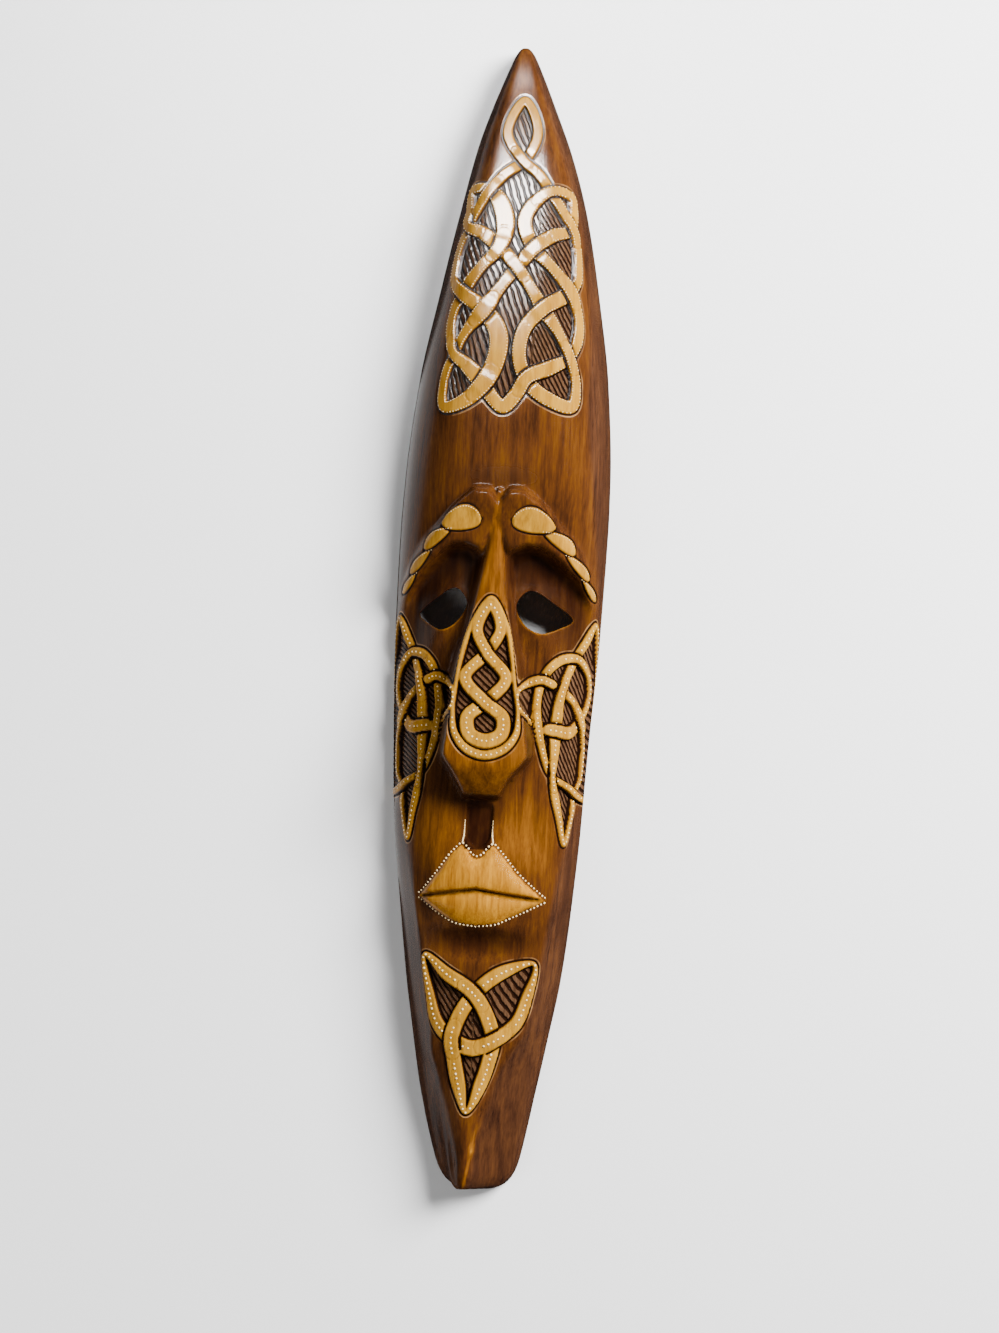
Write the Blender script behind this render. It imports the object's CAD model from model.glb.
import math

import bmesh
import bpy
import numpy as np
from mathutils import Matrix, Vector
from mathutils.bvhtree import BVHTree


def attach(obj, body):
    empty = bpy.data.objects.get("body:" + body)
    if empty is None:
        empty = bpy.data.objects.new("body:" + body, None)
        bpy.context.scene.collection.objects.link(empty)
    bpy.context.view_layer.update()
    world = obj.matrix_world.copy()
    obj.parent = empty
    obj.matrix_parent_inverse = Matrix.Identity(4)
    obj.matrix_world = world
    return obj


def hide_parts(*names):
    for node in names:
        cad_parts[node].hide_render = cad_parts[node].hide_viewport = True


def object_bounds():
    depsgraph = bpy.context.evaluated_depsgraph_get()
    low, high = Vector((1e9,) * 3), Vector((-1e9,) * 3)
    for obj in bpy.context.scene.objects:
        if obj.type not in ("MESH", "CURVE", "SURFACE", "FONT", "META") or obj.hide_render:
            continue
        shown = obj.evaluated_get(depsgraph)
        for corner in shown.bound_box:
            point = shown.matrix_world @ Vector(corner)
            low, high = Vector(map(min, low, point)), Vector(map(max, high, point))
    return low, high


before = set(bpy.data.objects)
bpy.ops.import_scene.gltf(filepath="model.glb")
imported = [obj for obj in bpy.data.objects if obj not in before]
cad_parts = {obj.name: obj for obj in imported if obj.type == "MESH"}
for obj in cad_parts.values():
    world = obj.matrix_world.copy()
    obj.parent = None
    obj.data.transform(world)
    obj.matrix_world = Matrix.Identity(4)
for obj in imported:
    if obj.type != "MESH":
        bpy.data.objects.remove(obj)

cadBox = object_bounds()
print("frame loaded")

# The carving is drawn in millimetres, chin at -500 and crown tip at 500, and stretched to these
# overall sizes in metres. The walls, the relief and the rest are in millimetres.
mask = {"length": 1.0, "width": 0.184, "depth": 0.084, "drawnLength": 1000.0, "drawnDepth": 84.0,
        "wall": 13.0, "rimWall": 12.0, "crownBlock": 75.0, "chinBlock": 70.0, "eyeFlare": 3.0,
        "bandRise": 1.6, "leafRise": 0.7, "overRise": 1.1, "pocketDepth": 2.6, "grooveWidth": 1.8,
        "grooveDepth": 1.4, "flankFoot": 13.0}
crownTip, chinTip = mask["drawnLength"] / 2, -mask["drawnLength"] / 2
toMetres = 0.001
# cells of the front skin before it is refined, those of the hollow, and the stops of their layouts
grid = {"front": (60, 250), "hollow": (36, 150), "frontStops": (180, 900), "hollowStops": (60, 240)}
# what the material reads from the mesh
markNames = ("edge", "pocket", "hatch", "flank", "gold", "shade", "inside")

board = {
    # half the outline's width at heights down the mask
    "halfWidths": ((500, 2.4), (499, 4.2), (496.5, 7.2), (490, 11), (482, 14.6), (473, 18.5), (456, 25.4),
                   (412, 41.5), (350, 57.5), (280, 71.2), (210, 83), (122, 90.4), (78, 91.4), (-10, 90.3),
                   (-100, 86.4), (-185, 82), (-229, 78), (-317, 68), (-361, 60.6), (-405, 52.7),
                   (-467, 39.2), (-480, 35.4), (-488.5, 31.2), (-493, 27.6), (-496.5, 22.8), (-499, 16),
                   (-500, 9)),
    # the hand-cut outline, and the line of nose and knots, wander off the straight axis
    "outlineBow": ((500, 0), (456, 0.5), (350, 4), (166, 1), (-10, -3), (-141, -5), (-317, -2.5), (-405, -3),
                   (-500, 0)),
    "faceBow": ((500, 0), (450, 2), (421, 1.5), (396, 3.5), (350, 0), (300, 2), (240, -0.5), (190, -5),
                (150, -4.5), (108, -4), (84, -5.5), (17, -7.2), (-50, -9), (-110, -7), (-153, -9.5),
                (-235, -10.5), (-300, -8), (-380, -8), (-415, -9.5), (-440, -12), (-500, -12.5)),
    "crownHeights": ((500, 30), (470, 34), (430, 43), (380, 52), (300, 60), (200, 64), (130, 63), (60, 56),
                     (0, 50), (-60, 49), (-120, 50), (-180, 52), (-240, 54), (-290, 50), (-340, 50),
                     (-400, 48), (-450, 43), (-485, 38), (-500, 36)),
    "panelEdges": ((-155, 90), (-165, 79), (-200, 68), (-250, 59), (-305, 50), (-355, 41), (-380, 34),
                   (-398, 26.5), (-417, 21.3), (-435, 16), (-459, 10.7), (-500, 4)),
    "panelBow": ((-155, 0), (-355, 0), (-385, -5), (-405, -5), (-440, -1), (-500, 0)),
    # how far out the golden front reaches before the purple side strip, as a share of the half width
    "frontShares": ((500, 0.5), (450, 0.66), (380, 0.8), (300, 0.87), (180, 0.78), (90, 0.86), (0, 0.95),
                    (-155, 0.95), (-175, 0.9)),
}
brow = {"top": ((0, 106), (4, 108), (10, 113), (20, 113), (29, 107), (40, 97), (51, 84), (64, 69.5),
                (74.5, 54), (82, 39), (92, 10)),
        "foot": ((0, 80), (8, 62), (12, 56), (18, 58.5), (27, 61.5), (38, 60), (46, 55), (55, 47),
                 (67, 35.5), (76, 22), (84, 8), (92, -10)),
        # the light leaves cut on it: inner end, outer end, half width, bow of the middle, where it is widest
        "leaves": (((13.4, 84.5), (49, 79), 10.9, 3.2, 0.8), ((39.2, 76.5), (65, 57), 5.9, 2.4, 1.35),
                   ((58.8, 57.5), (77.5, 35.5), 4.1, 1.0, 1.35), ((72.5, 37), (84, 18), 2.9, 0.6, 1.3))}
nose = {"heights": ((110, 66), (84, 67), (60, 65), (18, 67), (-40, 74), (-90, 81), (-124, 84), (-149, 71),
                    (-152.5, 68), (-161, 40), (-176, 20)),
        "widths": ((110, 1), (84, 3), (17, 13), (-10, 17.5), (-33, 23.5), (-60, 28.5), (-90, 32), (-112, 35),
                   (-118, 35.5), (-123, 33), (-132, 26.5), (-144, 19.4), (-152, 15.8), (-166, 14))}
mouth = {"upper": ((0, -208.5), (4.5, -206.5), (9, -200.5), (13.5, -197.5), (20, -203), (35, -222),
                   (54, -242.5)),
         "line": ((0, -235), (20, -238), (54, -243)),
         "lower": ((0, -266), (16, -264), (30, -257.5), (45, -249), (54, -243.5))}
eye = {"outline": ((67, 1.5), (50, 16), (37, 24.5), (28.5, 23.5), (21.5, 13), (25, 1), (33, -8),
                   (44, -12), (56, -7.5))}

# Where each band passes: name to (distance from the middle line, height, width). A route names the
# nodes in order, "-" for the mirrored one, and a node met twice is a crossing, over and under in turn.
# The hand that carved it set some left nodes a little off their mirror image: (outward, upward, wider).
# "hatch" is the turn in degrees and the pitch of the gouge cuts, right and left of the "seam" or, on
# the knots that are carved on "both" sides, right and left of the face. "dots" run down the middle of
# the band and "edgeDots" along its edges: radius, pitch and the height that they stay below.
plainKnot = {"hand": {}, "firstOver": False, "both": False, "seam": 0, "hatch": ((42, 4.5), (42, 4.5)),
             "dots": None, "edgeDots": None}
foreheadKnot = plainKnot | {
    "nodes": {
        "apex": (0, 450, 8), "ring": (13, 421, 8.5), "x1": (0, 396, 9), "q1": (15, 384, 9),
        "x2": (26, 370, 9), "q2": (37, 353, 9), "x3": (45, 338, 9), "q3": (51, 307, 9),
        "q4": (50.5, 291, 10), "x4": (46, 284, 12),
        "x5": (25, 268, 12.5), "q5": (10.5, 249, 12), "q6": (8.5, 229, 12), "x6": (18, 207, 12),
        "q7": (35, 191.5, 12.5), "corner": (55, 185, 11), "q8": (57, 203, 9), "x7": (50, 227, 9),
        "q9": (40, 247, 9), "q10": (14, 284, 10), "x8": (0, 303, 11), "x9": (15, 320, 12),
        "q11": (31, 332, 11.5), "q12": (45, 353, 10), "elbow": (42, 367.5, 9), "q13": (16, 362, 11),
        "q14": (7, 344, 12.5), "q15": (30, 304, 9.5), "q16": (54, 263, 9.5), "q17": (55, 243, 10.5),
        "q18": (36, 217, 12.5), "tip": (0, 182, 12), "q19": (11.5, 194, 12)},
    "route": "apex -ring x1 q1 x2 q2 x3 q3 q4 x4 x5 q5 q6 x6 q7 corner q8 x7 q9 x5 q10 x8 -x9 -q11 -x3"
             " -q12 -elbow -x2 -q13 -q14 -x9 -q15 -x4 -q16 -q17 -x7 -q18 -x6 -q19 tip q19 x6 q18 x7 q17"
             " q16 x4 q15 x9 q14 q13 x2 elbow q12 x3 q11 x9 x8 -q10 -x5 -q9 -x7 -q8 -corner -q7 -x6 -q6"
             " -q5 -x5 -x4 -q4 -q3 -x3 -q2 -x2 -q1 x1 ring",
    "hand": {"-q14": (3, 0, 3.5), "-q13": (2, 1, 2.5), "-elbow": (1, 2.5, 0), "-q3": (4, -1, 0),
             "-q4": (4, -3, 0), "-x4": (1, -4, 0), "-x5": (1, -3, 2), "-q5": (1.5, -2, 4),
             "-q6": (1.5, -3, 4), "-x6": (0, -6, 3), "-q7": (0, -6, 0), "-corner": (0, -4, -1),
             "-q19": (0, -2, 0)},
    "firstOver": True, "seam": 20, "hatch": ((60, 3.2), (66, 5.2)), "edgeDots": (0.6, 2.5, 375)}
noseKnot = plainKnot | {
    "nodes": {"apex": (0, 11, 9), "n1": (10, -10, 9.5), "x1": (0, -30, 10), "n2": (17.5, -52, 10.5),
              "x2": (0, -73, 11), "n3": (15.5, -87, 12), "n4": (13.5, -100, 12.5), "foot": (0, -106, 13)},
    "route": "apex n1 x1 -n2 x2 n3 n4 foot -n4 -n3 x2 n2 x1 -n1",
    "dots": (1.0, 4.4, 500)}
nosePanel = plainKnot | {
    "nodes": {"apex": (0, 17, 4), "b1": (14, -4, 4.5), "b2": (21.5, -33, 4), "b3": (25.5, -60, 3.5),
              "b4": (28, -84, 4), "b5": (26.5, -99, 6), "b6": (17, -112, 7.5), "foot": (0, -118, 8)},
    "route": "apex b1 b2 b3 b4 b5 b6 foot -b6 -b5 -b4 -b3 -b2 -b1",
    "dots": (0.9, 4.4, -84)}
chinKnot = plainKnot | {
    "nodes": {"tip": (0, -429, 4), "c1": (9.5, -405, 12.5), "c2": (15, -384, 13), "x1": (18, -366, 13),
              "c3": (33, -353, 12), "c4": (42, -328, 10), "c5": (46, -298, 4), "c6": (26, -305, 11.5),
              "x2": (0, -326, 12.5), "c7": (12, -345, 13), "base": (0, -373, 14)},
    "route": "tip c1 c2 x1 c7 x2 -c6 -c5 -c4 -c3 -x1 base x1 c3 c4 c5 c6 x2 -c7 -x1 -c2 -c1",
    "hand": {"-c5": (2, 4, 0), "-c4": (0, 0, -2), "-c6": (0, -4, 0)},
    "hatch": ((55, 5.8), (52, 4.5)), "dots": (1.15, 4.5, 500)}
cheekKnot = plainKnot | {
    "nodes": {"top": (85, -3, 6), "k1": (80, -14, 7.5), "x12": (71, -32.5, 8), "k2": (62, -33, 8.5),
              "k3": (53, -40, 8.5), "x23": (46.5, -52, 8), "k4": (42.5, -70, 8), "x56": (43.5, -93, 8),
              "k5": (46.5, -108, 7), "x610": (57, -135, 5.5), "k6": (71, -145.5, 6.5), "x89": (76, -151, 7),
              "k7": (83, -156, 5.5), "k8": (87, -130, 3), "k9": (88, -80, 3), "k10": (88, -30, 3),
              "k11": (80.5, -43, 6), "k12": (83.5, -60, 6), "k13": (82, -74, 7), "x57": (77.5, -87, 9),
              "k14": (68, -97, 11), "x45": (58, -95.5, 11), "k15": (34, -84, 4), "k16": (28, -73, 3.2),
              "k17": (29, -61, 5), "k18": (38, -54, 8), "k19": (51, -54, 8), "x34": (61.5, -60, 8),
              "k20": (71.5, -71, 7), "k21": (80, -100, 6), "k22": (80.5, -122, 5.5), "k23": (79, -140, 5.5),
              "k24": (73, -171, 5), "tip": (68, -194, 5), "k25": (63.5, -170, 7), "k26": (60, -153, 8),
              "k27": (57.5, -120, 8)},
    "route": "top k1 x12 x34 x45 k27 x610 k26 k25 tip k24 x89 k23 k22 k21 x57 k20 x34 k19 x23 k18 k17 k16"
             " k15 x56 x45 k14 x57 k13 k12 k11 x12 k2 k3 x23 k4 x56 k5 x610 k6 x89 k7 k8 k9 k10",
    "both": True, "hatch": ((66, 2.9), (36, 3.5)), "dots": (0.95, 3.9, 500)}
knots = (foreheadKnot, noseKnot, nosePanel, chinKnot, cheekKnot)


def along(stations, where):
    # a smooth curve with no overshoot through (place, value) stations
    table = np.array(sorted(stations), float)
    places, values = table[:, 0], table[:, 1]
    gaps = np.diff(places)
    slopes = np.diff(values) / gaps
    joined = slopes[:-1] * slopes[1:] > 0
    before, after = np.where(joined, slopes[:-1], 1.0), np.where(joined, slopes[1:], 1.0)
    near, far = gaps[:-1] + 2 * gaps[1:], 2 * gaps[:-1] + gaps[1:]
    mean = (near + far) / (far / after + near / before)
    tangents = np.concatenate([slopes[:1], np.where(joined, mean, 0), slopes[-1:]])
    where = np.clip(np.asarray(where, float), places[0], places[-1])
    i = np.clip(np.searchsorted(places, where, side="right") - 1, 0, len(places) - 2)
    t = (where - places[i]) / gaps[i]
    start = (1 + 2 * t) * (1 - t) ** 2 * values[i] + t * (1 - t) ** 2 * gaps[i] * tangents[i]
    return start + t * t * (3 - 2 * t) * values[i + 1] + t * t * (t - 1) * gaps[i] * tangents[i + 1]


def ramp(value, low, high):
    t = np.clip((value - low) / (high - low), 0, 1)
    return t * t * (3 - 2 * t)


def lowerOf(a, b, roundBy):
    h = np.clip(0.5 + 0.5 * (b - a) / roundBy, 0, 1)
    return b + (a - b) * h - roundBy * h * (1 - h)


def higherOf(a, b, roundBy):
    return -lowerOf(-a, -b, roundBy)


def bump(u, y, middle, radii, power=2.0):
    r = ((u - middle[0]) / radii[0]) ** 2 + ((y - middle[1]) / radii[1]) ** 2
    return np.clip(1 - r, 0, 1) ** power


def panelEdge(u, y):
    return along(board["panelEdges"], y) + np.sign(u) * along(board["panelBow"], y)


def endRoll(beyond, length, power):
    # the share of its height that the block keeps near an end: eased over first, then upright
    t = np.clip(beyond / length, 0, 1)
    return (1 - 0.2 * t**3) * np.sqrt(np.clip(1 - t**power, 0, 1))


def woodBlock(u, y):
    # the rounded board that the face is cut into, with the chin's flat flanks
    half = along(board["halfWidths"], y)
    share = np.clip(np.abs(u) / half, 0, 1)
    top = along(board["crownHeights"], y)
    dome = top * np.sqrt(np.clip(1 - share ** (2.6 + 1.8 * ramp(y, 240, 400)), 0, 1))
    towardChin = ramp(-y, 175, 290)
    edge = panelEdge(u, y)
    crease = np.minimum(edge, half * 0.97)
    panel = top * (1 - 0.2 * np.clip(np.abs(u) / np.maximum(edge, 8), 0, 1) ** 2)
    front = dome + (panel - dome) * towardChin
    creaseDome = top * np.sqrt(np.clip(1 - (crease / half) ** 2.6, 0, 1))
    creasePanel = top * (1 - 0.2 * (crease / np.maximum(edge, 8)) ** 2)
    shoulder = creaseDome + (creasePanel - creaseDome) * towardChin
    outward = np.abs(u) - crease
    fall = (shoulder - mask["flankFoot"] * np.minimum(shoulder, 26) / 26) / np.maximum(half - crease, 2.0)
    flank = shoulder - np.where(outward > 0, fall * outward, 4.0 * outward)
    chinSide = lowerOf(np.where(outward > 0, shoulder + 6, front), flank, 2.5)
    front = front + (chinSide - front) * ramp(-y, 150, 172)
    wall = np.sqrt(np.clip(1 - share**18, 0, 1))
    return np.maximum(front, 0) * wall * endRoll(y - 466, 34, 60) * endRoll(-y - 478, 22, 40)


def browsAndSockets(u, y):
    side = np.abs(u)
    top, foot = along(brow["top"], side), along(brow["foot"], side)
    lean = 1 / np.sqrt(1 + ramp(side, 30, 85) * 4)
    above, below = (y - top) * lean, (foot - y) * lean
    soft = 8 * (1 - ramp(side, 6, 20))
    height = 11.5 - 6.0 * ramp(side, 25, 88) + 1.5 * bump(side, y, (15, 100), (16, 24))
    height = height - 3.5 * bump(u, y, (0, 109), (6, 14), 1.0)
    crest = ramp(-above, -2.0, 5.5) * ramp(-below, -4.0 - soft, 5.0 + soft)
    slope = 1 - 0.28 * ramp(-above, 8, 36)
    reach = ramp(side, 6, 16) * (1 - ramp(side, 66, 88))
    socket = 10.5 * reach * ramp(below, -4.5, 7.5) * (1 - ramp(below, 8, 62))
    return height * crest * slope, socket


def lips(u, y):
    side = np.abs(u)
    line = along(mouth["line"], side)
    upper = (y - line) / np.maximum(along(mouth["upper"], side) - line, 1.0)
    lower = (line - y) / np.maximum(line - along(mouth["lower"], side), 1.0)
    full = np.where(y > line, upper, lower)
    swell = np.clip(np.sin(np.pi * np.clip(full, 0, 1) ** 0.85), 0, 1) ** 0.6
    slit = np.exp(-(((y - line) / 1.6) ** 2)) * (1 - ramp(side, 48, 55))
    return 4.2 * swell * (1 - 0.65 * ramp(side, 44, 54)) * (side < 54) - 3.2 * slit


def faceHeight(u, y):
    # height of the uncarved face over the rim plane, in millimetres
    block = woodBlock(u, y)
    share = np.abs(u) / along(board["halfWidths"], y)
    keep = 1 - ramp(share, 0.86, 0.99)
    ridge, socket = browsAndSockets(u, y)
    face = block + (ridge - socket) * keep
    face = face + 5.5 * bump(np.abs(u), y, (44, 0), (36, 34), 1.4) * keep
    face = face + 6.0 * bump(u, y, (0, -228), (64, 56), 1.6)
    face = face - 5.5 * bump(u, y, (0, -283), (46, 17), 1.5)
    face = face + lips(u, y)
    width, height = along(nose["widths"], y), along(nose["heights"], y)
    front = height - 2.5 * (u / np.maximum(width, 6)) ** 2
    steep = 2.6 + 2.0 * ramp(-y, 0, 100) + 2.4 * ramp(-y, 100, 135)
    sides = height - 2.0 - steep * (np.abs(u) - width)
    face = np.where((y < 112) & (y > -182), higherOf(face, lowerOf(front, sides, 2.0), 2.5), face)
    channel = (1 - ramp(np.abs(u), 10, 12.5)) * ramp(y - 0.08 * u**2, -201, -197.5)
    return face - 2.8 * channel * (1 - ramp(y, -166, -160))


def planBox():
    y = np.linspace(-500, 500, 1001)
    half, bow = along(board["halfWidths"], y), along(board["outlineBow"], y)
    left, right = (bow - half).min(), (bow + half).max()
    return (left + right) / 2, right - left


def place(u, y, height):
    # drawn position to millimetres on the finished mask
    outward = ramp(np.abs(u) / along(board["halfWidths"], y), 0.25, 0.9)
    drift = along(board["faceBow"], y) * (1 - outward) + along(board["outlineBow"], y) * outward
    middle, width = planBox()
    scale = [mask["width"] / width, mask["length"] / mask["drawnLength"], mask["depth"] / mask["drawnDepth"]]
    return np.stack([u + drift - middle, y, height], axis=-1) * np.array(scale) * 1000


def onFace(u, y):
    return place(u, y, faceHeight(u, y))


def faceNormal(u, y, step=0.4):
    normal = np.cross(onFace(u + step, y) - onFace(u - step, y), onFace(u, y + step) - onFace(u, y - step))
    return normal / np.maximum(np.linalg.norm(normal, axis=-1, keepdims=True), 1e-9)


def layoutTable(heightOf, inset, first, last, across, down):
    # u and y of evenly spaced stops over the surface, both ways
    fineY = last + (first - last) * (0.5 + 0.5 * np.cos(np.linspace(0, np.pi, 2401)))
    profile = np.stack([fineY, heightOf(np.zeros_like(fineY), fineY), along(board["halfWidths"], fineY)], -1)
    length = np.concatenate([[0], np.cumsum(np.linalg.norm(np.diff(profile, axis=0), axis=1))])
    rows = np.interp(np.linspace(0, 1, down + 1), length / length[-1], fineY)
    rows[0], rows[-1] = first, last
    half = np.maximum(along(board["halfWidths"], rows) - inset, 1.5)
    u = half[:, None] * np.sin(np.linspace(-np.pi / 2, np.pi / 2, 361))[None, :]
    heights = woodBlock(u, np.repeat(rows[:, None], u.shape[1], axis=1))
    steps = np.hypot(np.diff(u, axis=1), np.diff(heights, axis=1))
    length = np.concatenate([np.zeros((down + 1, 1)), np.cumsum(steps, axis=1)], axis=1)
    stops = np.linspace(0, 1, across + 1)
    return np.stack([np.interp(stops, length[i] / length[i, -1], u[i]) for i in range(down + 1)]), rows


def readTable(table, verts):
    # (u, y) of grid vertices whose places in the unit square are shares across and down
    spaced, rows = table
    co = np.array([v.co[:2] for v in verts])
    s, t = np.clip(co[:, 0] + 0.5, 0, 1), np.clip(0.5 - co[:, 1], 0, 1)
    down, across = spaced.shape[0] - 1, spaced.shape[1] - 1
    i = np.clip((t * down).astype(int), 0, down - 1)
    j = np.clip((s * across).astype(int), 0, across - 1)
    a, b = t * down - i, s * across - j
    upper = spaced[i, j] * (1 - b) + spaced[i, j + 1] * b
    lower = spaced[i + 1, j] * (1 - b) + spaced[i + 1, j + 1] * b
    return upper * (1 - a) + lower * a, rows[i] * (1 - a) + rows[i + 1] * a


def bandPath(knot, mirrored, step=0.8):
    # a closed band as arrays: u, y, width, level (1 over, -1 under), length from the start
    nodes, names = knot["nodes"], knot["route"].split()
    stops = np.array([nodes[n.lstrip("-")] for n in names], float)
    stops += np.array([knot["hand"].get(n, (0, 0, 0)) for n in names])
    stops[:, 0] *= [-1.0 if (n[0] == "-") != mirrored else 1.0 for n in names]
    keys = [n.lstrip("-") if nodes[n.lstrip("-")][0] == 0 else n for n in names]
    crossings = [i for i, key in enumerate(keys) if keys.count(key) > 1]
    points, marks = [], []
    for i in range(len(stops)):
        before, start, end, after = (stops[(i + k) % len(stops)] for k in (-1, 0, 1, 2))
        gap, gapBefore, gapAfter = (max(math.dist(a[:2], b[:2]), 0.5) for a, b in
                                    ((start, end), (before, start), (end, after)))
        leave = ((start - before) / gapBefore * gap + (end - start) / gap * gapBefore) / (gap + gapBefore)
        arrive = ((end - start) / gap * gapAfter + (after - end) / gapAfter * gap) / (gap + gapAfter)
        steps = max(2, int(round(gap / step)))
        t = (np.arange(steps) / steps)[:, None]
        marks.append(sum(len(part) for part in points))
        points.append((1 + 2 * t) * (1 - t) ** 2 * start + t * (1 - t) ** 2 * gap * leave
                      + t * t * (3 - 2 * t) * end + t * t * (t - 1) * gap * arrive)
    points = np.concatenate(points)
    length = np.concatenate([[0], np.cumsum(np.linalg.norm(np.diff(points[:, :2], axis=0), axis=1))])
    level = np.zeros(len(points))
    if crossings:
        whole = length[-1] + step
        at = length[[marks[i] for i in crossings]]
        over = np.where((np.arange(len(at)) % 2 == 0) == knot["firstOver"], 1.0, -1.0)
        away = np.abs((length[:, None] - at[None, :] + whole / 2) % whole - whole / 2)
        near = np.argmin(away, axis=1)
        level = over[near] * (1 - ramp(away[np.arange(len(points)), near], 5.0, 13.0))
    u, y, width = points.T
    return {"u": u, "y": y, "width": width, "level": level, "length": length, "place": onFace(u, y),
            "knot": knot, "mirrored": mirrored}


def enclosed(u, y, path, cell=2.0):
    # inside the outermost run of a band, by what it spans in rows and in columns
    points = np.column_stack([path["u"], path["y"]])
    low = points.min(axis=0) - cell * 2
    size = np.ceil((points.max(axis=0) - low) / cell).astype(int) + 3
    filled = np.zeros(size, bool)
    index = np.round((points - low) / cell).astype(int)
    filled[index[:, 0], index[:, 1]] = True
    inside = np.ones(size, bool)
    for axis in (0, 1):
        inside &= np.logical_or.accumulate(filled, axis=axis)
        inside &= np.flip(np.logical_or.accumulate(np.flip(filled, axis), axis=axis), axis)
    i = np.clip(np.round((u - low[0]) / cell).astype(int), 0, size[0] - 1)
    j = np.clip(np.round((y - low[1]) / cell).astype(int), 0, size[1] - 1)
    return inside[i, j]


paths = [bandPath(knot, mirrored) for knot in knots for mirrored in (False, True)[:1 + knot["both"]]]
print("bands laid out:", sum(len(path["u"]) for path in paths), "points")


def nearBands(position, reach=5.0):
    # distance outside the nearest band edge, apart for the runs that pass over and for the rest
    order = np.argsort(position[:, 1])
    heights = position[order, 1]
    count = len(position)
    found = {"over": np.full(count, 99.0), "rest": np.full(count, 99.0), "overLevel": np.zeros(count),
             "restLevel": np.zeros(count)}
    for path in paths:
        for spot, width, level in zip(path["place"], path["width"], path["level"]):
            first = np.searchsorted(heights, spot[1] - width / 2 - reach)
            last = np.searchsorted(heights, spot[1] + width / 2 + reach)
            near = order[first:last]
            near = near[np.abs(position[near, 0] - spot[0]) < width / 2 + reach]
            away = np.linalg.norm(position[near] - spot, axis=1) - width / 2
            kind = "over" if level > 0.02 else "rest"
            hit = near[away < found[kind][near]]
            found[kind][hit] = away[away < found[kind][near]]
            found[kind + "Level"][hit] = level
    return found


def leafEdge(u, y):
    # depth inside the nearest brow leaf, negative outside; an inner leaf lies over the next one out
    best = np.full(len(u), -99.0)
    side = np.abs(u)
    for start, end, half, bow, widest in brow["leaves"]:
        span = math.dist(start, end)
        ahead = ((end[0] - start[0]) / span, (end[1] - start[1]) / span)
        t = ((side - start[0]) * ahead[0] + (y - start[1]) * ahead[1]) / span
        off = (y - start[1]) * ahead[0] - (side - start[0]) * ahead[1]
        arch = np.sin(np.pi * np.clip(t, 0, 1) ** widest)
        inside = half * np.clip(arch, 0, 1) ** 0.55 - np.abs(off - bow * arch)
        inside = np.where((t < 0) | (t > 1), -np.hypot(np.where(t < 0, t, t - 1) * span, off), inside)
        best = np.maximum(best, np.minimum(inside, -best - mask["grooveWidth"]))
    return best


def carve(u, y, position):
    # height to add, and what the wood's colour is read from
    found = nearBands(position)
    over, rest = found["over"], found["rest"]
    onOver, onRest = over < 0, (over >= 0) & (rest < 0)
    level = np.where(onOver, found["overLevel"], np.where(onRest, found["restLevel"], 0))
    groove = mask["grooveWidth"]
    beside = np.where(found["overLevel"] > 0.25, over - groove, 99.0)
    edge = np.where(onOver, -over, np.where(onRest, np.minimum(-rest, beside), -np.minimum(over, rest)))
    leaf = leafEdge(u, y)
    edge = np.where(leaf > -6, np.maximum(edge, leaf), edge)
    pocket = np.zeros(len(u))
    hatch = np.zeros(len(u))
    for path in paths:
        knot = path["knot"]
        inside = enclosed(u, y, path)
        pocket = np.where(inside, 1.0, pocket)
        onLeft = path["mirrored"] if knot["both"] else u < knot["seam"]
        (rightTurn, rightPitch), (leftTurn, leftPitch) = knot["hatch"]
        turn = np.radians(np.where(onLeft, leftTurn, rightTurn))
        pitch = np.where(onLeft, leftPitch, rightPitch)
        hatch = np.where(inside, (u * np.sin(turn) + y * np.cos(turn)) / pitch, hatch)
    valley = np.clip(1 - np.abs(2 * edge / groove + 1), 0, 1)
    ground = -mask["pocketDepth"] * pocket * ramp(-edge, 0.0, 0.6)
    ground = ground - mask["grooveDepth"] * valley * (1 - 0.6 * pocket)
    rise = np.where(leaf > -1.0, mask["leafRise"], mask["bandRise"])
    crown = rise * (0.6 + 0.4 * ramp(edge, 0.0, 1.1)) + mask["overRise"] * level
    height = np.where(edge > 0, crown, np.where(onRest, crown - mask["grooveDepth"] * valley, ground))
    # ground near a leaf is no pocket, but it is kept free of the worn line too
    pocket = np.where(leaf > -6, 0.35, pocket)
    return height, {"edge": np.clip(edge, -6, 6), "pocket": pocket, "hatch": hatch}


def smoothRing(corners, each):
    # a closed smooth line through the corners
    corners = np.array(corners, float)
    ring = []
    for i in range(len(corners)):
        a, b, c, d = (corners[(i + n) % len(corners)] for n in (-1, 0, 1, 2))
        for t in np.arange(each) / each:
            ring.append(0.5 * (2 * b + (c - a) * t + (2 * a - 5 * b + 4 * c - d) * t**2
                               + (3 * b - a - 3 * c + d) * t**3))
    return np.array(ring)


def insideRing(u, y, ring):
    inside = np.zeros(len(u), bool)
    for (u0, y0), (u1, y1) in zip(ring, np.roll(ring, -1, axis=0)):
        crosses = (y0 > y) != (y1 > y)
        inside ^= crosses & (u < (u1 - u0) * (y - y0) / ((y1 - y0) if y1 != y0 else 1e-9) + u0)
    return inside


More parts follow.
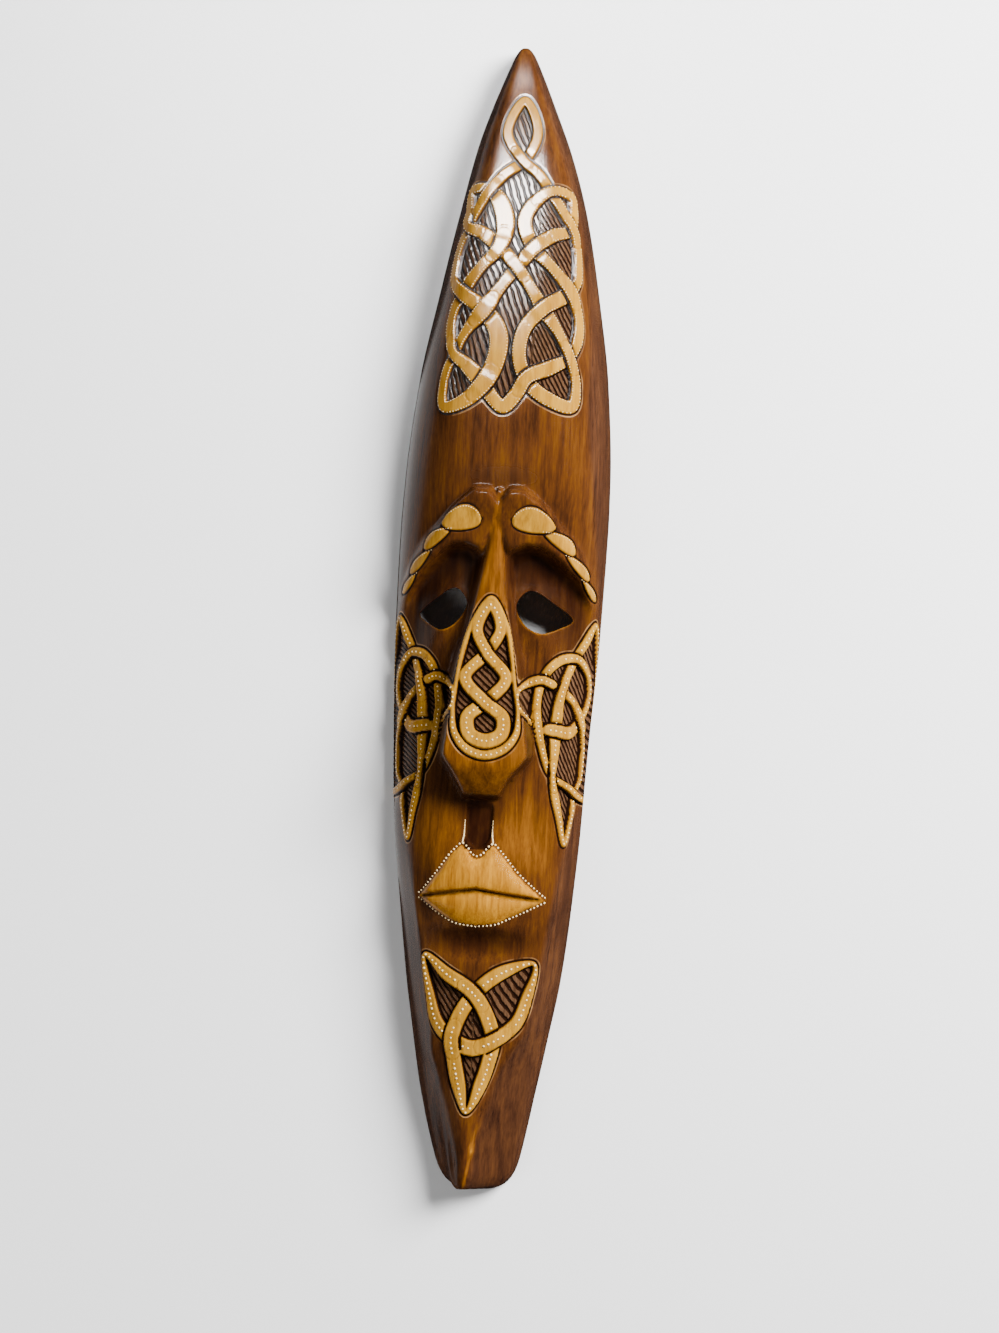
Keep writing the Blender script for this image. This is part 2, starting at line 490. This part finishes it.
def ringGap(u, y, ring):
    # distance to a ring, and the nearest place on it
    gap = np.full(len(u), 1e9)
    nearest = np.zeros((len(u), 2))
    spots = np.column_stack([u, y])
    for a, b in zip(ring, np.roll(ring, -1, axis=0)):
        t = np.clip(((spots - a) @ (b - a)) / max((b - a) @ (b - a), 1e-9), 0, 1)
        touch = a + t[:, None] * (b - a)
        away = np.linalg.norm(spots - touch, axis=1)
        closer = away < gap
        gap = np.where(closer, away, gap)
        nearest[closer] = touch[closer]
    return gap, nearest


eyeRing = smoothRing(eye["outline"], 6)
eyeMiddle = np.array(eye["outline"], float).mean(axis=0)


def eyeGrown(by):
    away = eyeRing - eyeMiddle
    return eyeRing + away / np.linalg.norm(away, axis=1, keepdims=True) * by


def detailWanted(u, y):
    # 2 beside cut edges, 1 in the rest of the carved ground, 0 on plain wood
    found = nearBands(onFace(u, y))
    wanted = np.zeros(len(u), int)
    for path in paths:
        wanted[enclosed(u, y, path)] = 1
    wanted[np.minimum(found["over"], found["rest"]) < 3.5] = 1
    wanted[(np.abs(found["over"]) < 2.3) | (np.abs(found["rest"]) < 2.3)] = 2
    wanted[np.abs(leafEdge(u, y)) < 2.6] = 2
    side = np.abs(u)
    lipZone = (side < 60) & (y < -155) & (y > -275)
    browZone = (y < 122) & (y > along(brow["foot"], side) - 14) & (y > -30)
    noseZone = (np.abs(side - along(nose["widths"], y)) < 5) & (y < 112) & (y > -175)
    for zone in (lipZone, browZone, noseZone):
        wanted[zone] = np.maximum(wanted[zone], 1)
    for part in ("upper", "line", "lower"):
        wanted[(np.abs(y - along(mouth[part], side)) < 3.0) & (side < 57)] = 2
    wanted[(side < 14) & (y < -160) & (y > -205)] = 2
    wanted[ringGap(side, y, eyeRing)[0] < 4] = 2
    return wanted


def openEyes(bm, verts, u, y, ring):
    # deletes the faces inside both eye rings and draws the cut edge onto the rings
    own = {v: i for i, v in enumerate(verts)}
    hole = insideRing(np.abs(u), y, ring)
    gone = [f for f in bm.faces if all(v in own for v in f.verts)
            and sum(hole[own[v]] for v in f.verts) * 2 > len(f.verts)]
    bmesh.ops.delete(bm, geom=gone, context="FACES")
    kept = [v.is_valid for v in verts]
    left = [v for v, keep in zip(verts, kept) if keep]
    u, y = u[kept], y[kept]
    gap, nearest = ringGap(np.abs(u), y, ring)
    rim = np.array([v.is_boundary for v in left]) & (gap < 10)
    return left, np.where(rim, nearest[:, 0] * np.sign(u), u), np.where(rim, nearest[:, 1], y), gap


def frontSkin(bm):
    # the carved face: a grid laid over it, refined where it is carved, then raised and cut
    table = layoutTable(faceHeight, 0.0, crownTip, chinTip, *grid["frontStops"])
    across, down = grid["front"]
    bmesh.ops.create_grid(bm, x_segments=across, y_segments=down, size=0.5)
    for level in (1, 2):
        u, y = readTable(table, bm.verts)
        wanted = detailWanted(u, y)
        bm.verts.index_update()
        fine = [e for e in bm.edges if max(wanted[e.verts[0].index], wanted[e.verts[1].index]) >= level]
        bmesh.ops.subdivide_edges(bm, edges=fine, cuts=1, use_grid_fill=True)
        print("front refined:", len(bm.faces), "faces")
    verts = list(bm.verts)
    u, y = readTable(table, verts)
    verts, u, y, gap = openEyes(bm, verts, u, y, eyeGrown(0.0))
    inner = np.clip(np.abs(u) / along(board["halfWidths"], y), 0, 0.9995)
    base = onFace(u, y)
    normal = faceNormal(np.sign(u) * inner * along(board["halfWidths"], y), np.clip(y, -499.5, 499.5))
    height, marks = carve(u, y, base)
    height = height * (1 - ramp(np.abs(u) / along(board["halfWidths"], y), 0.97, 0.995))
    # the eyes' edges are worn round, and worn through the stain along their lower half
    height = height - 0.5 * (1 - ramp(gap, 0, 1.6))
    marks.update(faceMarks(u, y))
    wornRim = (1 - ramp(gap, 0.3, 1.1)) * ramp(-y, -8, 2)
    marks["gold"] = np.maximum(marks["gold"], wornRim)
    return verts, base + normal * height[:, None], marks


# how golden the rubbed places are and how dark the stained ones, from 0 to 1; and the worn keel of the
# chin, a line through its brightest spot that leans to the right by a share of its height
tint = {"nose": 0.38, "lips": 0.95, "cheeks": 0.35, "besideNose": 0.75, "slit": 0.95, "belowLip": 0.9,
        "browEdge": 0.45, "keel": 0.7, "keelSpot": (7.1, -463.0), "keelLean": 0.17}


def faceMarks(u, y):
    # where the stain is golden, where it has gathered dark, and where the purple side strip starts
    side = np.abs(u)
    half = along(board["halfWidths"], y)
    front = np.where(y > -160, along(board["frontShares"], y) * half, panelEdge(u, y))
    flank = side - np.minimum(front, half * 0.96)
    socket = browsAndSockets(u, y)[1]
    width = along(nose["widths"], y)
    onNose = (1 - ramp(side - width, -1.0, 1.5)) * ramp(y, -154, -150) * (1 - ramp(y, 95, 112))
    besideNose = np.exp(-(np.clip(side - width, 0, 99) / 9) ** 2) * (1 - onNose) * ramp(-y, -100, 30)
    besideNose = besideNose * ramp(y, -185, -150)
    underNose = bump(u, y, (0, -166), (24, 18), 1.0) * ramp(-y, 150, 156)
    slit = np.exp(-((y - along(mouth["line"], side) + 0.8) / 2.2) ** 2) * (1 - ramp(side, 49, 55))
    inMouth = (y < along(mouth["upper"], side)) & (y > along(mouth["lower"], side)) & (side < 54)
    belowLip = bump(u, y, (0, -278), (58, 18), 1.0) * (y < along(mouth["lower"], side))
    channel = (side < 11) & (y < -160) & (y > -200)
    keelU, keelY = tint["keelSpot"]
    fromKeel = np.abs(u - keelU - (y - keelY) * tint["keelLean"])
    keel = (1 - ramp(fromKeel, 0.4, 1.8)) * ramp(-y, 435, 460) * ramp(y, -499, -494)
    keelSpot = bump(u, y, tint["keelSpot"], (3.2, 7), 0.8)
    cheeks = bump(side, y, (38, -190), (26, 40), 1.0)
    browEdge = bump(u, y, (0, 122), (52, 12), 1.0)
    gold = np.maximum.reduce([onNose * tint["nose"], inMouth * tint["lips"], cheeks * tint["cheeks"],
                              keel * tint["keel"], keelSpot])
    shade = np.maximum.reduce([socket / 10.5, besideNose * tint["besideNose"], underNose, channel * 1.0,
                               slit * tint["slit"], belowLip * tint["belowLip"],
                               browEdge * tint["browEdge"]])
    return {"flank": np.clip(flank, -6, 6), "gold": gold, "shade": np.clip(shade, 0, 1)}


def hollowSkin(bm):
    # the inside follows the face without its nose, brows and lips, a wall's thickness in
    first, last = crownTip - mask["crownBlock"], chinTip + mask["chinBlock"]
    rim = mask["rimWall"]
    table = layoutTable(woodBlock, rim, first, last, *grid["hollowStops"])
    before = set(bm.verts)
    across, down = grid["hollow"]
    bmesh.ops.create_grid(bm, x_segments=across, y_segments=down, size=0.5)
    verts = [v for v in bm.verts if v not in before]
    u, y = readTable(table, verts)
    verts, u, y, _ = openEyes(bm, verts, u, y, eyeGrown(mask["eyeFlare"]))
    half = along(board["halfWidths"], y)
    wider = u * half / np.maximum(half - rim, 1.5)
    sockets = 13.0 * bump(np.abs(wider), y, (40, 38), (70, 62), 1.2)
    low = woodBlock(wider, y) - sockets - mask["wall"]
    ends = np.sqrt(np.clip(1 - ((y - (first + last) / 2) / ((first - last) / 2)) ** 10, 0, 1))
    sides = np.sqrt(np.clip(1 - np.abs(u / (half - rim)) ** 10, 0, 1))
    return verts, place(u, y, np.maximum(low, 1.0) * ends * sides)


def keptIn(spot):
    # the paint and the worn edges stay inside the solid's own box
    return np.clip(spot, cadBox[0], cadBox[1])


def boundaryLoops(bm):
    # the open edges, loop by loop, in the mesh's own order so that each run gives the same mesh
    boundary = [e for e in bm.edges if e.is_boundary]
    left = set(boundary)
    loops = []
    for first in boundary:
        if first not in left:
            continue
        left.discard(first)
        loop, waiting = [], [first]
        while waiting:
            edge = waiting.pop()
            loop.append(edge)
            for vertex in edge.verts:
                joined = [e for e in vertex.link_edges if e in left]
                left.difference_update(joined)
                waiting.extend(joined)
        loops.append(loop)
    return loops


def closeBetween(bm):
    # joins the front and the hollow round the rim and round each eye
    pairs = {}
    for loop in boundaryLoops(bm):
        middle = sum(e.verts[0].co.x for e in loop) / len(loop)
        reach = max(abs(e.verts[0].co.y) for e in loop)
        pairs.setdefault("rim" if reach > 0.3 else ("left" if middle < 0 else "right"), []).append(loop)
    for name, pair in pairs.items():
        edges = [edge for loop in pair for edge in loop]
        bridged = bmesh.ops.bridge_loops(bm, edges=edges)
        for edge in edges:
            edge.smooth = False
        print("closed", name, "with", len(bridged["faces"]), "faces from", [len(loop) for loop in pair])


def newObject(name, data):
    made = bpy.data.objects.new(name, data)
    bpy.context.scene.collection.objects.link(made)
    return made


bm = bmesh.new()
for name in markNames:
    bm.verts.layers.float.new(name)
frontVerts, frontPlaces, marks = frontSkin(bm)
layers = {name: bm.verts.layers.float[name] for name in markNames}
for i, vertex in enumerate(frontVerts):
    vertex.co = keptIn(frontPlaces[i] * toMetres)
    for name in marks:
        vertex[layers[name]] = float(marks[name][i])
print("front skin:", len(bm.faces), "faces")
hollowVerts, hollowPlaces = hollowSkin(bm)
for i, vertex in enumerate(hollowVerts):
    vertex.co = hollowPlaces[i] * toMetres
    vertex[layers["inside"]] = 1.0
    vertex[layers["edge"]] = -6.0
    vertex[layers["flank"]] = -6.0
closeBetween(bm)
bmesh.ops.recalc_face_normals(bm, faces=bm.faces)
for face in bm.faces:
    face.smooth = True
tree = BVHTree.FromBMesh(bm)
mesh = bpy.data.meshes.new("carved_mask")
bm.to_mesh(mesh)
bm.free()
maskPiece = newObject("carved_mask", mesh)
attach(maskPiece, "root")
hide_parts("mask")
print("mask piece:", len(mesh.polygons), "faces")


def linear(hexColour):
    parts = [int(hexColour[i:i + 2], 16) / 255 for i in (1, 3, 5)]
    return tuple(c / 12.92 if c <= 0.04045 else ((c + 0.055) / 1.055) ** 2.4 for c in parts) + (1.0,)


def add(tree, kind, settings=None, links=None):
    node = tree.nodes.new("ShaderNode" + kind)
    for name, value in (settings or {}).items():
        if isinstance(name, str) and name in node.bl_rna.properties:
            setattr(node, name, value)
        else:
            node.inputs[name].default_value = value
    for name, socket in (links or {}).items():
        tree.links.new(socket, node.inputs[name])
    return node


paint = {
    # a dot's height, its flat top, how far its middle is lifted and how uneven dots are, in shares of
    # its radius
    "dot": "#e6cb98", "sides": 7, "height": 0.55, "top": 0.55, "lift": 0.14, "uneven": (0.82, 1.12),
    # in millimetres: radius and pitch along the lips, and how far up from each lip's edge the line is
    "lips": (1.05, 3.4), "lipLines": {"upper": 2.3, "lower": -1.2},
    # the same on the brow leaves, how far in from their edge, and the pitch of the two lines up the groove
    "leaves": (0.55, 2.4), "leafInset": 1.3, "groovePitch": 0.8,
    # how far over the wood each dot starts its way down to it
    "over": 6.0}


def dotPlaces():
    # where the painter's dots sit: place, normal, radius and level of each
    spots = []
    for path in paths:
        knot = path["knot"]
        length, level = path["length"], path["level"]
        rows = []
        if knot["dots"]:
            radius, pitch, below = knot["dots"]
            rows.append((0.0, radius, pitch, below))
        if knot["edgeDots"]:
            radius, pitch, below = knot["edgeDots"]
            rows += [(side, radius, pitch, below) for side in (-1.0, 1.0)]
        ahead = np.roll(path["place"], -2, axis=0) - np.roll(path["place"], 2, axis=0)
        ahead /= np.maximum(np.linalg.norm(ahead, axis=1, keepdims=True), 1e-9)
        normal = faceNormal(path["u"], path["y"])
        across = np.cross(normal, ahead)
        for side, radius, pitch, below in rows:
            count = int(length[-1] / pitch)
            for k in range(count):
                i = int(np.searchsorted(length, length[-1] * k / count))
                if path["y"][i] > below:
                    continue
                offset = side * (path["width"][i] / 2 - radius * 1.3)
                spots.append((path["place"][i] + across[i] * offset, normal[i], radius, level[i]))
    for part, above in paint["lipLines"].items():
        side = np.linspace(-55, 55, 400)
        spots += lineDots(side, along(mouth[part], np.abs(side)) + above, *paint["lips"])
    for start, end, half, bow, widest in brow["leaves"]:
        span = math.dist(start, end)
        t = np.linspace(0.03, 0.85, 120)
        arch = np.sin(np.pi * t**widest)
        off = bow * arch + half * arch**0.55 - paint["leafInset"]
        side = start[0] + ((end[0] - start[0]) * t * span - (end[1] - start[1]) * off) / span
        y = start[1] + ((end[1] - start[1]) * t * span + (end[0] - start[0]) * off) / span
        spots += lineDots(side, y, *paint["leaves"]) + lineDots(-side, y, *paint["leaves"])
    for sign in (-1, 1):
        y = np.linspace(-195, -175, 60)
        beside, radius = 12 + 1.2 * ramp(-y, 186, 195), 0.4 + 0.45 * ramp(-y, 176, 192)
        spots += lineDots(sign * beside, y, radius, paint["groovePitch"])
    return spots


def lineDots(u, y, radius, pitch):
    # dots along a drawn line; they lie over whatever the line crosses
    spot, normal = onFace(u, y), faceNormal(u, y)
    length = np.concatenate([[0], np.cumsum(np.linalg.norm(np.diff(spot, axis=0), axis=1))])
    rows = [int(np.searchsorted(length, k * pitch)) for k in range(int(length[-1] / pitch) + 1)]
    radii = np.broadcast_to(radius, np.shape(y))
    return [(spot[i], normal[i], radii[i], 2.0) for i in rows]


def makeDots():
    spots = dotPlaces()
    found = nearBands(np.array([spot[0] for spot in spots]), 2.0)
    bm = bmesh.new()
    chance = np.random.default_rng(7)
    made = 0
    for (spot, normal, radius, level), over in zip(spots, found["over"]):
        # none where another band passes over
        if level < 0.02 and over < radius + 0.6:
            continue
        start = Vector(spot + normal * paint["over"]) * toMetres
        hit, facing, _, _ = tree.ray_cast(start, -Vector(normal), 2 * paint["over"] * toMetres)
        if hit is None:
            continue
        radius = radius * chance.uniform(*paint["uneven"]) * toMetres
        turn = facing.to_track_quat("Z", "Y").to_matrix().to_4x4()
        middle = Matrix.Translation(hit + facing * radius * paint["lift"])
        bmesh.ops.create_cone(bm, cap_ends=True, segments=paint["sides"], radius1=radius,
                              radius2=radius * paint["top"], depth=radius * paint["height"],
                              matrix=middle @ turn)
        made += 1
    for face in bm.faces:
        face.smooth = True
    for vertex in bm.verts:
        vertex.co = keptIn(vertex.co)
    mesh = bpy.data.meshes.new("paint_dots")
    bm.to_mesh(mesh)
    bm.free()
    print("paint dots:", made, "with", len(mesh.polygons), "faces")
    return newObject("paint_dots", mesh)


dots = makeDots()
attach(dots, "root")


wood = {
    # as it looks under the lacquer, each from its darkest streaks to its lightest
    "stain": ("#2a1508", "#43240c", "#56320d"), "rubbed": ("#5d3509", "#7e4c0c", "#9a6110"),
    "bareLips": ("#774708", "#b47c1c"), "sideStrip": ("#23120b", "#452a1a"), "band": ("#7f540f", "#a87a22"),
    "hatchRidge": ("#3a2618", "#573d29"),
    # stain gathered in the hollows, the bands' edges, the line where the stain is worn, the cuts, the
    # burnt line round the bands and the back
    "gathered": "#150603", "bandEdge": "#6a420c", "worn": "#a87f52", "hatchCut": "#190b05",
    "line": "#140804", "inside": "#160b06",
    # how far outside a band the worn line is, in mm, and how deep gouge cuts and fibres are, in metres
    "wornFrom": 2.5, "cutDepth": 0.0011, "fibreDepth": 0.00014}


def woodMaterial():
    # stained and lacquered softwood: golden where it is rubbed, dark where the stain gathers
    material = bpy.data.materials.new("stained and lacquered wood")
    material.use_nodes = True
    tree = material.node_tree
    shader = tree.nodes["Principled BSDF"]

    def mixIn(colour, factor, hexColour):
        settings = {"data_type": "RGBA", 7: linear(hexColour)}
        return add(tree, "Mix", settings, {0: factor, 6: colour}).outputs[2]

    def blend(factor, first, second):
        return add(tree, "Mix", {"data_type": "RGBA"}, {0: factor, 6: first, 7: second}).outputs[2]

    def scaled(value, low, high, toLow=0.0, toHigh=1.0):
        return add(tree, "MapRange", {"From Min": low, "From Max": high, "To Min": toLow, "To Max": toHigh},
                   {"Value": value}).outputs[0]

    def times(a, b):
        return add(tree, "Math", {"operation": "MULTIPLY"}, {0: a, 1: b}).outputs[0]

    def plus(a, b, share=1.0, shift=0.0):
        # a * share + shift + b
        part = add(tree, "Math", {"operation": "MULTIPLY_ADD", 1: share, 2: shift}, {0: a}).outputs[0]
        return add(tree, "Math", {"operation": "ADD"}, {0: part, 1: b}).outputs[0]

    def gapTo(value, middle):
        shifted = add(tree, "Math", {"operation": "ADD", 1: -middle}, {0: value}).outputs[0]
        return add(tree, "Math", {"operation": "ABSOLUTE"}, {0: shifted}).outputs[0]

    def noise(scale, detail, roughness=0.5, distortion=0.0):
        at = add(tree, "Mapping", {"Scale": scale}, {"Vector": where}).outputs[0]
        return add(tree, "TexNoise", {"Scale": 1.0, "Detail": detail, "Roughness": roughness,
                                      "Distortion": distortion}, {"Vector": at}).outputs["Fac"]

    def colours(factor, *stops):
        made = add(tree, "ValToRGB", {}, {"Fac": factor})
        for k, hexColour in enumerate(stops):
            place = k / (len(stops) - 1)
            stop = made.color_ramp.elements[0] if k == 0 else (
                made.color_ramp.elements[-1] if place == 1.0 else made.color_ramp.elements.new(place))
            stop.color = linear(hexColour)
        return made.outputs["Color"]

    mark = {name: add(tree, "Attribute", {"attribute_name": name}).outputs["Fac"] for name in markNames}
    where = add(tree, "TexCoord").outputs["Object"]
    fibre = noise((620.0, 62.0, 620.0), 4.0, 0.65)
    streak = noise((150.0, 9.0, 150.0), 3.0, 0.55, 0.6)
    cloud = noise((30.0, 17.0, 30.0), 4.0, 0.6)
    tone = plus(scaled(fibre, 0.3, 0.7), scaled(streak, 0.2, 0.8), 0.5, -0.25)
    colour = colours(plus(scaled(cloud, 0.3, 0.7), tone, 0.46, -0.23), *wood["stain"])
    rubbed = times(mark["gold"], scaled(cloud, 0.25, 0.6, 0.8, 1.0))
    colour = blend(rubbed, colour, colours(tone, *wood["rubbed"]))
    colour = blend(scaled(mark["gold"], 0.8, 0.95, 0.0, 0.85), colour, colours(tone, *wood["bareLips"]))
    shade = times(mark["shade"], scaled(streak, 0.3, 0.7, 0.95, 0.75))
    colour = mixIn(colour, shade, wood["gathered"])
    flankOn = times(scaled(mark["flank"], -1.5, 2.5), scaled(streak, 0.3, 0.7, 0.95, 0.7))
    colour = blend(flankOn, colour, colours(plus(cloud, tone, 0.9, -0.45), *wood["sideStrip"]))
    # the bands are the paler bare wood under the same lacquer, browner at their edges
    bare = colours(tone, *wood["band"])
    bare = mixIn(bare, scaled(plus(cloud, mark["edge"], 1.2, -0.6), 0.1, 1.3, 0.75, 0.0), wood["bandEdge"])
    colour = blend(scaled(mark["edge"], -0.1, 0.2), colour, bare)
    # a pale worn line where the ground meets the outside of the burnt line
    worn = scaled(gapTo(mark["edge"], -wood["wornFrom"]), 0.3, 0.75, 1.0, 0.0)
    worn = times(worn, scaled(mark["pocket"], 0.0, 0.3, 1.0, 0.0))
    worn = times(worn, scaled(cloud, 0.42, 0.66, 0.0, 0.7))
    colour = mixIn(colour, worn, wood["worn"])
    # gouge cuts in the ground between the bands, none quite straight or even
    inPocket = times(scaled(mark["pocket"], 0.4, 0.6), scaled(mark["edge"], -1.3, -0.8, 1.0, 0.0))
    phase = plus(cloud, plus(noise((160.0, 160.0, 160.0), 2.0), mark["hatch"], 0.5, -0.25), 0.9)
    wave = add(tree, "Math", {"operation": "PINGPONG", 1: 0.5}, {0: phase}).outputs[0]
    gouged = scaled(wave, 0.2, 0.3, 1.0, 0.0)
    ridges = colours(scaled(fibre, 0.35, 0.65), *wood["hatchRidge"])
    colour = blend(inPocket, colour, mixIn(ridges, gouged, wood["hatchCut"]))
    # the dark line burnt round every band
    groove = mask["grooveWidth"]
    inLine = scaled(gapTo(mark["edge"], -groove / 2), groove * 0.34, groove * 0.56, 1.0, 0.0)
    colour = mixIn(colour, inLine, wood["line"])
    colour = mixIn(colour, scaled(mark["inside"], 0.05, 0.5), wood["inside"])
    tree.links.new(colour, shader.inputs["Base Color"])
    slope = scaled(wave, 0.02, 0.3, 0.0, wood["cutDepth"])
    lift = plus(fibre, times(inPocket, slope), wood["fibreDepth"])
    relief = add(tree, "Bump", {"Strength": 1.0, "Distance": 1.0}, {"Height": lift}).outputs["Normal"]
    tree.links.new(relief, shader.inputs["Normal"])
    # the lacquer is glossy on the open faces and dull where stain and dirt have gathered
    rough = plus(times(inPocket, gouged), scaled(cloud, 0.3, 0.7, 0.16, 0.24), 0.1)
    rough = plus(inLine, plus(mark["shade"], rough, 0.25), 0.3)
    rough = plus(scaled(mark["inside"], 0.0, 0.3), rough, 0.5)
    tree.links.new(rough, shader.inputs["Roughness"])
    shader.inputs["IOR"].default_value = 1.4
    return material


mesh.materials.append(woodMaterial())
print("wood material made")


def plainMaterial(name, colour, roughness):
    material = bpy.data.materials.new(name)
    material.use_nodes = True
    shader = material.node_tree.nodes["Principled BSDF"]
    shader.inputs["Base Color"].default_value = linear(colour)
    shader.inputs["Roughness"].default_value = roughness
    return material


dots.data.materials.append(plainMaterial("cream paint", paint["dot"], 0.45))

# the lit floor is kept out of reflections, which would wash out the side strips
floorMesh = bpy.data.meshes.new("floor")
floorForm = bmesh.new()
bmesh.ops.create_grid(floorForm, x_segments=1, y_segments=1, size=6.0)
floorForm.to_mesh(floorMesh)
floorForm.free()
floor = newObject("floor", floorMesh)
floorMesh.materials.append(plainMaterial("white paper backdrop", "#f7f7f7", 0.9))
floor.visible_glossy = False

# looks down on the mask as the photograph does, a little from its right
camera = {"distance": 2.76, "frameHeight": 1.170, "aim": (0.0015, -0.0417, 0.01), "sideTilt": 2.3,
          "roll": 2.5}
lens = bpy.data.cameras.new("camera")
lens.sensor_fit = "VERTICAL"
lens.sensor_height = 36.0
lens.lens = 36.0 * camera["distance"] / camera["frameHeight"]
lens.clip_end = 50
viewer = newObject("camera", lens)
back = Vector((math.tan(math.radians(camera["sideTilt"])), 0, 1)).normalized()
viewer.location = Vector(camera["aim"]) + back * camera["distance"]
right = Vector((math.cos(math.radians(camera["roll"])), math.sin(math.radians(camera["roll"])), 0))
right = (right - back * right.dot(back)).normalized()
viewer.rotation_mode = "QUATERNION"
viewer.rotation_quaternion = Matrix((right, back.cross(right), back)).transposed().to_quaternion()
bpy.context.scene.camera = viewer


def softbox(name, spot, target, size, radiance, seenBy, spread=180):
    # radiance of its face in W/m2/sr, the kind of ray that it is there for, and its spread in degrees
    data = bpy.data.lights.new(name, "AREA")
    data.shape = "RECTANGLE"
    data.size, data.size_y = size
    data.energy = radiance * math.pi * size[0] * size[1]
    data.spread = math.radians(spread)
    lamp = newObject(name, data)
    lamp.location = spot
    lamp.rotation_mode = "QUATERNION"
    lamp.rotation_quaternion = (Vector(target) - Vector(spot)).to_track_quat("-Z", "Y")
    lamp.visible_camera = False
    lamp.visible_diffuse = seenBy == "diffuse"
    lamp.visible_glossy = seenBy == "glossy"


# the photo's sheen lies on the crown alone, so what lights the wood and what it mirrors are apart
softbox("key", (1.75, 1.25, 1.55), (0, 0, 0), (1.4, 1.4), 66.0, "diffuse")
softbox("fill", (-1.7, -1.3, 1.3), (0, 0, 0), (1.6, 1.6), 4.2, "diffuse")
softbox("window over the crown", (-0.12, 0.585, 0.6), (-0.12, 0.585, 0), (0.42, 0.29), 60.0, "glossy", 78)
softbox("ceiling beyond it", (-0.05, 0.92, 0.6), (-0.05, 0.92, 0), (0.7, 0.38), 1.2, "glossy", 100)
softbox("paper on the left", (-0.41, 0, 0.004), (-0.41, 0, 1), (0.66, 1.3), 0.7, "glossy")
world = bpy.data.worlds.new("studio")
bpy.context.scene.world = world
world.use_nodes = True
surroundings = world.node_tree.nodes["Background"]
surroundings.inputs["Color"].default_value = linear("#f4f6f8")
surroundings.inputs["Strength"].default_value = 0.04
print("floor, camera and lights set")
